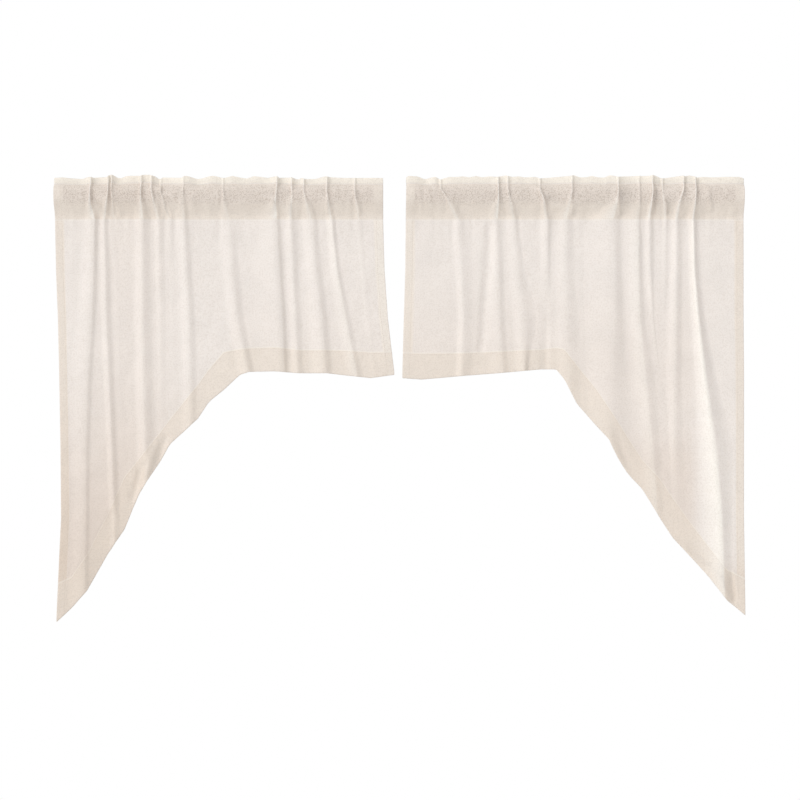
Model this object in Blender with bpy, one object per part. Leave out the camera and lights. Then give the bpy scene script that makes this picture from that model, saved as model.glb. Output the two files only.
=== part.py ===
# A pair of one-piece swag curtains with long outer tails, gathered on a rod that is not part of them.
# Metres, +Z up. The front faces -Y. The origin is the middle of the pair's top edge, and the rod
# that would hold the pair runs along X, below the origin and inside the two headings.
from collections import namedtuple
from math import pi, sin

import bmesh
import bpy

MM = 0.001

# Heading, in mm: a header frill, then the channel for the rod, then the seam that closes it.
HEADER_HEIGHT = 12
ROD_DEPTH = 27
ROD_CLEARANCE = 13.5
CHANNEL_TAPER_DEPTH = 42
CHANNEL_ROWS_BELOW_TAPER = (70, 56)
CHANNEL_ROW_ABOVE_ROD = 17
SEAM_DEPTH = 86
SEAM_BAND = 3
LAYER_SPACING = 1.9
HEADER_NOTCH = 5
PINCH_HALF_WIDTH = 6
BACK_PINCH_SHARE = 0.5

# Cloth, in mm.
CLOTH_THICKNESS = 1.5
HEM_THICKNESS = 2.4
SIDE_HEM_WIDTH = 19
PIECE_GAP = 0.3
VALLEY_PLANE = 5

# The left tail swings forward towards its outer edge: how far at most, in mm, between which depths
# the swing grows, and between which places across the pair.
TAIL_SWING = 20
SWING_DEPTHS = (250, 800)
SWING_PLACES = (-560, -710)

# How finely the sheets are divided, with lengths in mm.
FLAT_STEP = 28
BODY_ROWS = 9
HEM_ROWS = 2
MIN_FLAT_SHARE = 0.15
MIN_SHOULDER_HEIGHT = 4
EDGE_ROUNDS = 12

# Depths below the top edge, in mm, at which the places of a fold and of a side edge are given.
PATH_DEPTHS = (25, 86, 190, 290, 400, 560, 700, 900)

# A fold's crest: its place across the pair at PATH_DEPTHS, from the rod down, the widths of its left and
# right slopes below the rod, where one number holds all the way down, and how far it stands forward at
# the rod, at the seam and at the lower edge. Where the last is None, the heights under the seam are
# given at PATH_DEPTHS.
Fold = namedtuple("Fold", "path left right pinch seam low")

LEFT_FOLDS = (
    Fold(
        (-636, -630, -632, -636, -643, -647, -647, -650),
        (26, 26, 30, 34, 38, 40, 40, 40), (9, 9, 10, 11, 11, 10, 10, 10),
        7, (5.5, 5.5, 5.5, 5, 4.5, 4, 4, 4), None,
    ),
    Fold((-600, -609, -607, -605, -600, -593, -588, -585), 14, (12, 12, 12, 12, 12, 13, 14), 6, 4.4, 5),
    Fold((-593, -590, -585, -582, -578, -572, -568, -566), 8, 9, 3, 0.5, 0),
    Fold((-532, -531, -530, -530, -528, -524, -521), 20, (20, 20, 22, 26, 30, 34), 6, 6, 8),
    Fold((-511, -497, -495, -493, -492, -490), 14, 12, 5, 2.8, 0),
    Fold((-492, -474, -470, -468, -466, -464), 8, 8, 3, 0.5, 0),
    Fold((-446, -445, -440, -434, -432, -430), 22, 14, 2, 5.8, 3.5),
    Fold((-364, -352, -346, -336, -313), 24, 16, 2, 3.8, 6.5),
    Fold((-253, -255, -249, -243, -239), (14, 50, 56, 58, 58), 11, 7, 6, 6.5),
    Fold((-223, -225, -221, -215, -211), 20, 14, 5, 5, 5),
    Fold((-198, -183, -174, -162, -154), (14, 20, 30, 34, 34), 16, 4, 6, 8),
    Fold((-150, -141, -130, -112, -90), (16, 16, 18, 24, 24), (8, 8, 9, 12, 14), 5, 4, 4.5),
    Fold((-93, -84, -76, -66, -52), 9, 9, 3, 1, 0.5),
)
LEFT_OUTER_EDGE = (-712, -711, -709, -705, -702, -698, -696, -705)
LEFT_INNER_EDGE = (-35, -35, -32, -25, -12)

RIGHT_FOLDS = (
    Fold((84, 120, 127, 131, 127), (18, 18, 16, 14, 14), 24, 4, 4.5, 6),
    Fold((202, 200, 202, 204, 212), (20, 20, 20, 26, 34), 14, 7, 4.4, 5),
    Fold(
        (222, 236, 242, 254, 257),
        (24, 24, 24, 24, 22), (10, 9, 16, 32, 6), 3, (3.5, 3.5, 3.5, 6, 7), None,
    ),
    Fold((288, 303, 303, 302, 300), (12, 14, 18, 18, 18), 12, 4, (7, 7, 2.5, -1.5, -3), None),
    Fold((354, 342, 341, 344, 348), (20, 28, 32, 34, 34), (16, 16, 20, 26, 30), 4, 4.4, 4.5),
    Fold((449, 438, 440, 441, 434, 430), (10, 50, 62, 62, 58, 50), (8, 18, 22, 28, 40, 48), 5, 7.5, 9),
    Fold(
        (492, 491, 491, 493, 504, 520, 530),
        (10, 30, 34, 34, 34, 30, 30), (11, 11, 12, 14, 24, 20), 2, (5, 5, 5, 5, 5.5, 4.5, 2), None,
    ),
    Fold(
        (519, 513, 515, 521, 534, 544, 550),
        (15, 15, 14, 8, 3, 2), (12, 12, 10, 4, 2), 8, (5, 5, 4, 1, 0), None,
    ),
    Fold(
        (540, 548, 547, 543, 540, 550, 556),
        (10, 10, 9, 4, 2), (9, 9, 8, 4, 2), 4, (2.2, 2.2, 1, 0), None,
    ),
    Fold(
        (583, 569, 569, 568, 567, 566, 574),
        (14, 14, 16, 22, 24, 16), (15, 15, 15, 15, 15, 20), 6, (6, 6, 6, 5.5, 5, 3.5, 0), None,
    ),
    Fold(
        (608, 604, 606, 614, 626, 647, 661, 668),
        (10, 10, 12, 16, 22, 38, 46, 46), (9, 9, 11, 14, 24, 40, 24, 20),
        7, (8, 8, 8.5, 10.5, 13, 14, 11, 8), None,
    ),
)
RIGHT_INNER_EDGE = (13, 12, 11, 8, 5)
RIGHT_OUTER_EDGE = (708, 708, 708, 708, 709, 709, 709, 712)

# The lower edge, from the pair's middle outward: its place across the pair, the depth of the edge
# itself, and the depth of the stitch line along the top of the hem.
EdgePoint = namedtuple("EdgePoint", "x edge stitch")

LEFT_LOWER_EDGE = (
    EdgePoint(-10, 405, 358),
    EdgePoint(-60, 412, 359),
    EdgePoint(-108, 407, 355),
    EdgePoint(-150, 402, 354),
    EdgePoint(-208, 402, 354),
    EdgePoint(-258, 398, 348),
    EdgePoint(-310, 399, 350),
    EdgePoint(-330, 405, 352),
    EdgePoint(-363, 436, 358),
    EdgePoint(-394, 461, 394),
    EdgePoint(-417, 496, 426),
    EdgePoint(-475, 549, 498),
    EdgePoint(-496, 586, 526),
    EdgePoint(-539, 652, 580),
    EdgePoint(-568, 724, 616),
    EdgePoint(-613, 791, 718),
    EdgePoint(-644, 850, 776),
    EdgePoint(-675, 885, 822),
    EdgePoint(-707, 915, 836),
)

RIGHT_LOWER_EDGE = (
    EdgePoint(4, 412, 360),
    EdgePoint(45, 415, 361),
    EdgePoint(136, 407, 360),
    EdgePoint(202, 402, 357),
    EdgePoint(291, 394, 353),
    EdgePoint(322, 394, 349),
    EdgePoint(338, 413, 352),
    EdgePoint(365, 465, 386),
    EdgePoint(404, 510, 434),
    EdgePoint(431, 539, 475),
    EdgePoint(444, 568, 494),
    EdgePoint(471, 611, 537),
    EdgePoint(499, 640, 580),
    EdgePoint(537, 702, 621),
    EdgePoint(563, 742, 660),
    EdgePoint(597, 778, 708),
    EdgePoint(635, 820, 758),
    EdgePoint(672, 868, 806),
    EdgePoint(712, 901, 826),
)

# Colours of the cloth, linear RGB: the panel alone, and the greyer doubled cloth of the heading.
PANEL_COLOUR = (0.84, 0.77, 0.71)
HEADING_COLOUR = (0.70, 0.63, 0.56)
CLOTH_ROUGHNESS = 0.95

Side = namedtuple("Side", "name folds low_x_edge high_x_edge lower_edge")

SIDES = (
    Side("left", LEFT_FOLDS, LEFT_OUTER_EDGE, LEFT_INNER_EDGE, LEFT_LOWER_EDGE),
    Side("right", RIGHT_FOLDS, RIGHT_INNER_EDGE, RIGHT_OUTER_EDGE, RIGHT_LOWER_EDGE),
)

# One line of the cloth that runs from the heading to the lower edge, at one depth.
Station = namedtuple("Station", "x lift fold in_side_hem")


def mix(start, end, share):
    return start + (end - start) * share


def smooth_share(start, end, value):
    share = min(max((value - start) / (end - start), 0.0), 1.0)
    return share * share * (3 - 2 * share)


def read_table(places, values, place):
    # The table's value at this place, on straight lines between its rows and level past its ends.
    if place <= places[0]:
        return values[0]
    for first in range(len(places) - 1):
        if place <= places[first + 1]:
            share = (place - places[first]) / (places[first + 1] - places[first])
            return mix(values[first], values[first + 1], share)
    return values[-1]


def read_path(path, depth):
    return read_table(PATH_DEPTHS[: len(path)], path, depth)


def read_value(value, depth):
    # A slope's width or a height is one number, or a path of them.
    if isinstance(value, tuple):
        return read_path(value, depth)
    return value


def slope_widths(fold, depth):
    opened = smooth_share(ROD_DEPTH, SEAM_DEPTH - SEAM_BAND, depth)
    left = mix(PINCH_HALF_WIDTH, read_value(fold.left, depth), opened)
    right = mix(PINCH_HALF_WIDTH, read_value(fold.right, depth), opened)
    return left, right


def fitted_slopes(side, depth):
    # Every fold's crest and slope widths, narrowed where two neighbours would meet.
    crests = [read_path(fold.path, depth) for fold in side.folds]
    widths = [slope_widths(fold, depth) for fold in side.folds]
    low_stop = read_path(side.low_x_edge, depth) + SIDE_HEM_WIDTH
    high_stop = read_path(side.high_x_edge, depth) - SIDE_HEM_WIDTH
    stops = [low_stop] + crests + [high_stop]
    rights = [0.0] + [width[1] for width in widths]
    lefts = [width[0] for width in widths] + [0.0]
    shares = []
    for place in range(len(stops) - 1):
        room = (stops[place + 1] - stops[place]) * (1 - MIN_FLAT_SHARE)
        shares.append(min(1.0, room / (rights[place] + lefts[place])))
    return stops, [r * s for r, s in zip(rights, shares)], [w * s for w, s in zip(lefts, shares)]


def flat_counts(side):
    # How many lines each flat stretch between two folds takes, the same at every depth.
    stops, rights, lefts = fitted_slopes(side, SEAM_DEPTH)
    counts = []
    for place in range(len(stops) - 1):
        flat = stops[place + 1] - stops[place] - rights[place] - lefts[place]
        counts.append(int(flat / FLAT_STEP))
    return counts


def has_shoulders(fold):
    # A small tuck is a plain ridge, without a line half way down each slope.
    if fold.low is None:
        return max(fold.seam) >= MIN_SHOULDER_HEIGHT
    return max(fold.seam, fold.low) >= MIN_SHOULDER_HEIGHT


def stations(side, depth, with_shoulders):
    # Every line of the cloth at this depth, from the side's low x edge to its high x edge.
    # A line's lift is its share of its fold's height.
    stops, rights, lefts = fitted_slopes(side, depth)
    last = len(stops) - 1
    lines = [
        Station(read_path(side.low_x_edge, depth), 0.0, None, True),
        Station(stops[0], 0.0, None, True),
    ]
    for place, count in enumerate(flat_counts(side)):
        start = stops[place] + rights[place]
        end = stops[place + 1] - lefts[place]
        before = place - 1 if place else None
        after = place if place + 1 < last else None
        if before is not None:
            if with_shoulders and has_shoulders(side.folds[before]):
                lines.append(Station(stops[place] + rights[place] / 2, 0.5, before, False))
            lines.append(Station(start, 0.0, before, False))
        for step in range(1, count + 1):
            lines.append(Station(mix(start, end, step / (count + 1)), 0.0, None, False))
        if after is not None:
            lines.append(Station(end, 0.0, after, False))
            if with_shoulders and has_shoulders(side.folds[after]):
                lines.append(Station(stops[place + 1] - lefts[place] / 2, 0.5, after, False))
            lines.append(Station(stops[place + 1], 1.0, after, False))
    lines.append(Station(stops[last], 0.0, None, True))
    lines.append(Station(read_path(side.high_x_edge, depth), 0.0, None, True))
    return lines


def pinch_height(side, station):
    # How far the gather of this line stands out at the rod.
    if station.fold is None:
        return 0.0
    return station.lift * side.folds[station.fold].pinch


def fold_height(side, station, depth, fallen):
    # How far this line stands forward where it has fallen this share of the way to the lower edge.
    if station.fold is None:
        return 0.0
    fold = side.folds[station.fold]
    seam = read_value(fold.seam, depth)
    low = seam if fold.low is None else fold.low
    return station.lift * mix(seam, low, fallen)


def layer_spread(depth):
    # Half the distance between the middles of the heading's front and back layers.
    closed = LAYER_SPACING / 2
    if depth <= ROD_DEPTH:
        share = max(0.0, (depth - HEADER_HEIGHT) / (ROD_DEPTH - HEADER_HEIGHT))
        return mix(closed, ROD_CLEARANCE, sin(share * pi / 2))
    share = smooth_share(CHANNEL_TAPER_DEPTH, SEAM_DEPTH - SEAM_BAND, depth)
    return mix(ROD_CLEARANCE, closed, share)


def heading_point(side, column, depth, front):
    # A point of the heading's front or back layer. Both lean forward together in the header and at
    # the seam. Around the rod the gathers stand outward on both sides.
    station = stations(side, depth, False)[column]
    pinch = pinch_height(side, station)
    below_header = smooth_share(HEADER_HEIGHT, ROD_DEPTH, depth)
    at_seam = smooth_share(CHANNEL_TAPER_DEPTH, SEAM_DEPTH - SEAM_BAND, depth)
    at_rod = below_header * (1 - at_seam)
    middle = -pinch * (1 - below_header)
    middle += at_seam * (VALLEY_PLANE - fold_height(side, station, SEAM_DEPTH, 0.0))
    if front:
        y = middle - layer_spread(depth) - pinch * at_rod
    else:
        y = middle + layer_spread(depth) + BACK_PINCH_SHARE * pinch * at_rod
    notch = HEADER_NOTCH * station.lift * (1 - smooth_share(0, HEADER_HEIGHT, depth))
    return station.x * MM, y * MM, -(depth + notch) * MM


def heading_profile():
    # Once round the heading from its bottom fold, up the front and down the back, as (depth, is front).
    top = CLOTH_THICKNESS / 2
    bottom = SEAM_DEPTH - CLOTH_THICKNESS / 2
    band = SEAM_DEPTH - SEAM_BAND
    front = [bottom, band, *CHANNEL_ROWS_BELOW_TAPER, CHANNEL_TAPER_DEPTH]
    front += [ROD_DEPTH, CHANNEL_ROW_ABOVE_ROD, HEADER_HEIGHT, top]
    loop = [(depth, True) for depth in front] + [(depth, False) for depth in reversed(front)]
    return loop + loop[:1]


def edge_depth(side, column, name):
    # Where this line of the panel meets the lower edge, or the stitch line of the hem above it.
    points = sorted(side.lower_edge)
    places = [point.x for point in points]
    depths = [getattr(point, name) for point in points]
    depth = SEAM_DEPTH
    for _ in range(EDGE_ROUNDS):
        x = stations(side, depth, True)[column].x
        depth = read_table(places, depths, x)
    return depth


def tail_swing(x, depth):
    # How far the tail swings forward here. The right panel lies outside the places of the swing.
    start, end = SWING_PLACES
    outward = min(max((x - start) / (end - start), 0.0), 1.0)
    return TAIL_SWING * outward * smooth_share(*SWING_DEPTHS, depth)


def panel_point(side, column, row, stitch, edge):
    # A point of the panel. A narrow band hangs straight under the seam, and below it the rows are even
    # down to the hem's stitch line and even again in the hem.
    top = SEAM_DEPTH + PIECE_GAP
    if row == 0:
        depth = top
    elif row <= BODY_ROWS:
        depth = mix(top + SEAM_BAND, stitch, (row - 1) / (BODY_ROWS - 1))
    else:
        depth = mix(stitch, edge, (row - BODY_ROWS) / HEM_ROWS)
    station = stations(side, depth, True)[column]
    fallen = max(0.0, depth - top - SEAM_BAND) / (edge - top - SEAM_BAND)
    forward = fold_height(side, station, depth, fallen) + tail_swing(station.x, depth)
    return station.x * MM, (VALLEY_PLANE - forward) * MM, -depth * MM


def cloth_material(name, colour):
    material = bpy.data.materials.new(name)
    material.use_nodes = True
    shader = material.node_tree.nodes["Principled BSDF"]
    shader.inputs["Base Color"].default_value = (*colour, 1.0)
    shader.inputs["Roughness"].default_value = CLOTH_ROUGHNESS
    shader.inputs["Metallic"].default_value = 0.0
    material.diffuse_color = (*colour, 1.0)
    return material


def add_sheet(name, points, hem_lines, material):
    # One cloth sheet from its rows of points. A row that repeats the first one closes it to a tube.
    rows = len(points)
    columns = len(points[0])
    shape = bmesh.new()
    bmesh.ops.create_grid(shape, x_segments=columns - 1, y_segments=rows - 1, size=1.0)
    weight_layer = shape.verts.layers.deform.verify()
    shape.verts.ensure_lookup_table()
    for row in range(rows):
        for column in range(columns):
            vertex = shape.verts[row * columns + column]
            vertex.co = points[row][column]
            vertex[weight_layer][0] = 1.0 if hem_lines(row, column) else 0.0
    bmesh.ops.remove_doubles(shape, verts=shape.verts, dist=0.01 * MM)
    mesh = bpy.data.meshes.new(name)
    shape.to_mesh(mesh)
    shape.free()
    mesh.materials.append(material)
    mesh.shade_smooth()
    sheet = bpy.data.objects.new(name, mesh)
    bpy.context.scene.collection.objects.link(sheet)
    sheet.vertex_groups.new(name="turned hem")
    thickness = sheet.modifiers.new("cloth thickness", "SOLIDIFY")
    thickness.thickness = HEM_THICKNESS * MM
    thickness.offset = 0.0
    thickness.vertex_group = "turned hem"
    thickness.thickness_vertex_group = CLOTH_THICKNESS / HEM_THICKNESS


def add_heading(side):
    columns = len(stations(side, SEAM_DEPTH, False))
    points = []
    for depth, front in heading_profile():
        points.append([heading_point(side, column, depth, front) for column in range(columns)])
    material = cloth_material(side.name + " heading cotton", HEADING_COLOUR)
    add_sheet(side.name + "_heading", points, lambda row, column: False, material)


def add_panel(side):
    lines = stations(side, SEAM_DEPTH, True)
    columns = range(len(lines))
    stitches = [edge_depth(side, column, "stitch") for column in columns]
    edges = [edge_depth(side, column, "edge") for column in columns]
    points = []
    for row in range(BODY_ROWS + HEM_ROWS + 1):
        points.append(
            [panel_point(side, column, row, stitches[column], edges[column]) for column in columns]
        )

    def in_hem(row, column):
        return row >= BODY_ROWS or lines[column].in_side_hem

    material = cloth_material(side.name + " panel cotton", PANEL_COLOUR)
    add_sheet(side.name + "_panel", points, in_hem, material)


for leftover in list(bpy.data.objects):
    bpy.data.objects.remove(leftover)

for side in SIDES:
    add_heading(side)
    add_panel(side)
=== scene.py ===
# A pair of unlined cotton swag curtains, each one sheet with a gathered rod pocket,
# a short swag towards the middle and a long slanted tail outside.
import math
from functools import lru_cache

import bmesh
import bpy
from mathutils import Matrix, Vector, noise


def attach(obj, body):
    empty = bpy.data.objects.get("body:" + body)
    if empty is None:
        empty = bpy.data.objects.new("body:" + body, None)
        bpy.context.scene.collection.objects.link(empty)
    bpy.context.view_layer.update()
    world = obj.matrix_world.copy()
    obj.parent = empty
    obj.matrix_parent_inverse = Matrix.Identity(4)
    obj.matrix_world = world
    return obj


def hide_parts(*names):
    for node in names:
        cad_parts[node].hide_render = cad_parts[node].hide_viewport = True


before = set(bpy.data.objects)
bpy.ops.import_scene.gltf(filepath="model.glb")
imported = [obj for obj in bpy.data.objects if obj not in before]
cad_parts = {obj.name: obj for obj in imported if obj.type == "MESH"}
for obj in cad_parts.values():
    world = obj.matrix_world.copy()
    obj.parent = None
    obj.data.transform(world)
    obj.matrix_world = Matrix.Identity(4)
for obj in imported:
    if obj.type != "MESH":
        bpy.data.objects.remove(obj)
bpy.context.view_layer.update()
print("frame loaded,", len(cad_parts), "nodes")

mm = 0.001


def hexToLinear(hexColour):
    parts = [int(hexColour[i:i + 2], 16) / 255 for i in (1, 3, 5)]
    return [p / 12.92 if p <= 0.04045 else ((p + 0.055) / 1.055) ** 2.4 for p in parts] + [1.0]


def addNode(tree, kind, settings=None, values=None, links=None):
    node = tree.nodes.new(kind)
    for name, value in (settings or {}).items():
        setattr(node, name, value)
    for name, value in (values or {}).items():
        node.inputs[name].default_value = value
    for name, source in (links or {}).items():
        tree.links.new(source, node.inputs[name])
    return node


def mix(start, end, share):
    return start + (end - start) * share


def smoothShare(start, end, value):
    share = min(max((value - start) / (end - start), 0.0), 1.0)
    return share * share * (3 - 2 * share)


def readTable(places, values, place):
    # straight lines between the rows, level past both ends
    if place <= places[0]:
        return values[0]
    for first in range(len(places) - 1):
        if place <= places[first + 1]:
            share = (place - places[first]) / (places[first + 1] - places[first])
            return mix(values[first], values[first + 1], share)
    return values[-1]


def bump(value, centre, halfWidth):
    # a soft hill, 1 at its centre and 0 past its half width
    gap = abs(value - centre) / halfWidth
    return 0.5 + 0.5 * math.cos(math.pi * gap) if gap < 1 else 0.0


# The cloth and how it is cut and sewn, in mm.
cloth = {
    "thickness": 0.5,
    "headerHeight": 12,
    "rodDepth": 27,
    "rodClearance": 13.3,
    "taperDepth": 42,
    "seamDepth": 86,
    "seamBand": 3,
    "layerGap": 1.1,
    "headingGap": 3.0,  # room for the turned side hems between the heading's two layers
    "pinchHalfWidth": 4.5,
    "backPinchShare": 0.5,  # how far a gather stands out behind the rod, against the front
    "sideHem": 16,
    "lowerHemTurn": 51,
    "valleyPlane": 5,  # how far back the valleys between the folds lie
    # the left tail swings forward towards its outer edge
    "tailSwing": 20,
    "swingDepths": (250, 800),
    "swingPlaces": (-560, -710),
}

# How finely a drape's sheet is divided.
division = {
    "slopeSteps": 5,
    "flatStep": 4.5,
    "hemColumns": 4,
    "channelRows": 24,
    "headerRows": 8,
    "bodyRows": 104,
    "lastBodyShare": 0.996,  # one more row just above the hem
    "hemRows": 9,
    # above 1 a stretch is divided more finely towards its edge
    "hemColumnCrowding": 1.8,
    "headerCrowding": 1.6,
    "hemRowCrowding": 1.4,
    "edgeRounds": 12,  # rounds that settle where a line meets the slanted lower edge
}

# The shape of every fold: how much of the room between two crests their slopes may fill, and the power
# that sharpens a crisp crest.
foldShape = {
    "room": 0.88,
    "crispPower": 1.6,
}

# Depths below the top edge at which a fold's path and a side edge are given.
pathDepths = (25, 86, 190, 290, 400, 560, 700, 900)

# A fold: its crest's place across the pair at pathDepths, its left and right slope widths, how far it
# stands forward at the rod, at the seam and at the lower edge, and how sharp its crest is, 0 to 1.
# Below 0 the crest is full and the foot is sharp. A row of seam heights is given at pathDepths and
# holds all the way down. A fold may end with the strength of the painted highlight on its slope towards the
# light, 0 to 1.
foldColumns = ("path", "left", "right", "pinch", "seam", "low", "crisp", "glow")

leftDrape = {
    "name": "leftDrape",
    "nodes": ("left_heading", "left_panel"),
    "innerHem": "highHem",  # the side hem next to the other curtain, and how pale it is, 0 to 1
    "innerHemLight": 0.5,
    "folds": [
        (
            (-636, -630, -632, -636, -643, -647, -647, -650), (26, 26, 30, 34, 38, 40, 40, 40),
            (9, 9, 10, 11, 11, 10, 10, 10), 7, (5.5, 5.5, 5.5, 5, 4.5, 4, 4, 4), None, 0.1,
        ),
        (
            (-600, -609, -607, -605, -600, -593, -588, -585), 14,
            (12, 12, 12, 12, 12, 13, 14), 6, 4.4, 5, 0.4,
        ),
        ((-593, -590, -585, -582, -578, -572, -568, -566), 8, 9, 3, 0.5, 0, 0.2),
        ((-532, -531, -530, -530, -528, -524, -521), 20, (20, 20, 22, 26, 30, 34), 6, 6, 8, 0.3),
        ((-511, -497, -495, -493, -492, -490), 14, 12, 5, 2.8, 0, 0.2),
        ((-492, -474, -470, -468, -466, -464), 8, 8, 3, 0.5, 0, 0.1),
        ((-446, -445, -440, -434, -432, -430), 22, 14, 2, 5.8, 3.5, 0.3),
        ((-364, -352, -346, -336, -313), 24, 16, 2, 3.8, 6.5, 0.2),
        ((-253, -255, -249, -243, -239), (14, 50, 56, 58, 58), 11, 7, 6, 6.5, 0.4),
        ((-223, -225, -221, -215, -211), 20, 14, 5, 5, 5, 0.3),
        ((-198, -183, -174, -162, -154), (14, 20, 30, 34, 34), 16, 4, 6, 8, 0.3),
        ((-150, -141, -130, -112, -90), (16, 16, 18, 24, 24), (8, 8, 9, 12, 14), 5, 4, 4.5, 0.5, 0.35),
        ((-93, -84, -76, -66, -52), 9, 9, 3, 1, 0.5, 0.1),
    ],
    # place across the pair and height of the frill's top above the pair's top line
    "frillTop": [
        (-712, 0), (-696, 1), (-675, -1), (-655, -2), (-640, 2), (-628, 0), (-614, 3), (-607, 1), (-594, 6),
        (-577, -1), (-560, 4), (-537, 4), (-521, 7), (-507, 4), (-496, -2), (-478, 4), (-455, -1), (-441, 4),
        (-416, -2), (-385, 4), (-364, 0), (-342, 4), (-319, -2), (-305, 4), (-292, 1), (-286, 2), (-274, 0),
        (-255, 3), (-243, -2), (-224, 1), (-212, -3), (-204, 0), (-194, -2), (-182, 2), (-169, -4),
        (-155, 3), (-138, 1), (-115, 0), (-35, 0),
    ],
    "lowXEdge": (-712, -711, -709, -705, -702, -698, -696, -705),
    "highXEdge": (-35, -35, -32, -25, -12),
    # place across the pair, depth of the lower edge, depth of the hem's stitch line
    "lowerEdge": [
        (-707, 915, 836), (-675, 885, 822), (-644, 850, 776), (-613, 791, 718),
        (-568, 724, 616), (-539, 652, 580), (-496, 586, 526), (-475, 549, 498),
        (-417, 496, 426), (-394, 461, 394), (-363, 436, 358), (-330, 405, 352),
        (-310, 399, 350), (-258, 398, 348), (-208, 402, 354), (-150, 402, 354),
        (-108, 407, 355), (-60, 412, 359), (-10, 405, 358),
    ],
}

rightDrape = {
    "name": "rightDrape",
    "nodes": ("right_heading", "right_panel"),
    "innerHem": "lowHem",
    "innerHemLight": 0.25,
    "folds": [
        ((84, 120, 127, 131, 127), (18, 18, 16, 14, 14), 24, 4, 4.5, 6, 0.5),
        ((202, 200, 202, 204, 212), (20, 20, 20, 26, 34), 14, 7, 4.4, 5, 0.3),
        (
            (222, 236, 242, 254, 257), (24, 24, 24, 24, 22),
            (10, 9, 16, 32, 6), 3, (3.5, 3.5, 3.5, 6, 7), None, 0.1,
        ),
        ((288, 303, 303, 302, 300), (12, 14, 18, 18, 18), 12, 4, (7, 7, 2.5, -1.5, -3), None, 0.1),
        ((354, 342, 341, 344, 348), (20, 28, 32, 34, 34), (16, 16, 20, 26, 30), 4, 4.4, 4.5, 0.1),
        (
            (449, 438, 440, 441, 434, 430), (10, 50, 62, 62, 58, 50),
            (8, 18, 22, 28, 40, 48), 5, 7.5, 9, -0.6,
        ),
        (
            (492, 491, 491, 493, 504, 520, 530), (10, 30, 34, 34, 34, 30, 30),
            (11, 11, 12, 14, 24, 20), 2, (5, 5, 5, 5, 5.5, 4.5, 2), None, 0.3, 0.35,
        ),
        (
            (519, 513, 515, 521, 534, 544, 550), (15, 15, 14, 8, 3, 2),
            (12, 12, 10, 4, 2), 8, (5, 5, 4, 1, 0), None, 0.2,
        ),
        (
            (540, 548, 547, 543, 540, 550, 556), (10, 10, 9, 4, 2),
            (9, 9, 8, 4, 2), 4, (2.2, 2.2, 1, 0), None, 0.1,
        ),
        (
            (583, 569, 569, 568, 567, 566, 574), (14, 14, 16, 22, 24, 16),
            (15, 15, 15, 15, 15, 20), 6, (6, 6, 6, 5.5, 5, 3.5, 0), None, 0.1,
        ),
        (
            (608, 604, 606, 614, 626, 647, 661, 668), (10, 10, 12, 16, 22, 38, 46, 46),
            (9, 9, 11, 14, 24, 40, 24, 20), 7, (8, 8, 8.5, 10.5, 13, 14, 11, 8), None, 0.6, 1,
        ),
    ],
    "frillTop": [
        (13, 1), (17, 4), (33, 3), (52, -2), (72, 2), (84, -3), (97, 3), (107, 1), (128, 3), (146, 1),
        (154, 4), (166, 1), (185, 3), (202, 2), (214, 5), (233, 2), (245, 3), (258, 1), (280, 2),
        (288, -1), (319, 4), (340, 2), (358, 5), (377, 0), (393, 4), (416, 0), (437, 6), (449, 2),
        (462, 4), (480, 2), (492, 4), (505, 2), (521, 5), (541, -1), (562, 3), (582, 4), (589, 3),
        (597, 5), (612, 1), (624, 2), (640, 1), (682, 2), (700, 2), (708, -1),
    ],
    "lowXEdge": (13, 12, 11, 8, 5),
    "highXEdge": (708, 708, 708, 708, 709, 709, 709, 712),
    "lowerEdge": [
        (4, 412, 360), (45, 415, 361), (136, 407, 360), (202, 402, 357), (291, 394, 353),
        (322, 394, 349), (338, 413, 352), (365, 465, 386), (404, 510, 434), (431, 539, 475),
        (444, 568, 494), (471, 611, 537), (499, 640, 580), (537, 702, 621), (563, 742, 660),
        (597, 778, 708), (635, 820, 758), (672, 868, 806), (712, 901, 826),
    ],
}

drapes = {d["name"]: d for d in (leftDrape, rightDrape)}
for drape in drapes.values():
    drape["folds"] = [dict(zip(foldColumns, row)) for row in drape["folds"]]


def readPath(path, depth):
    # a single number holds all the way down
    if isinstance(path, (int, float)):
        return path
    return readTable(pathDepths[:len(path)], path, depth)


@lru_cache(maxsize=None)
def fittedSlopes(name, halfDepth):
    # every fold's crest and slope widths at this depth, narrowed where two neighbours would meet
    drape = drapes[name]
    depth = halfDepth / 2
    opened = smoothShare(cloth["rodDepth"], cloth["seamDepth"] - cloth["seamBand"], depth)
    crests = [readPath(fold["path"], depth) for fold in drape["folds"]]
    pinched = cloth["pinchHalfWidth"]
    lefts = [mix(pinched, readPath(fold["left"], depth), opened) for fold in drape["folds"]] + [0.0]
    rights = [0.0] + [mix(pinched, readPath(fold["right"], depth), opened) for fold in drape["folds"]]
    lowEdge = readPath(drape["lowXEdge"], depth)
    highEdge = readPath(drape["highXEdge"], depth)
    stops = [lowEdge + cloth["sideHem"]] + crests + [highEdge - cloth["sideHem"]]
    for place in range(len(stops) - 1):
        room = (stops[place + 1] - stops[place]) * foldShape["room"]
        share = min(1.0, room / (rights[place] + lefts[place]))
        rights[place] *= share
        lefts[place] *= share
    return lowEdge, stops, rights, lefts, highEdge


def slopeLift(share, crisp):
    # the height along a slope, from its foot at 0 to its crest at 1
    rounded = 0.5 - 0.5 * math.cos(math.pi * share)
    power = foldShape["crispPower"]
    if crisp < 0:
        return mix(rounded, 1 - (1 - share) ** power, -crisp)
    return mix(rounded, share ** power, crisp)


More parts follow.
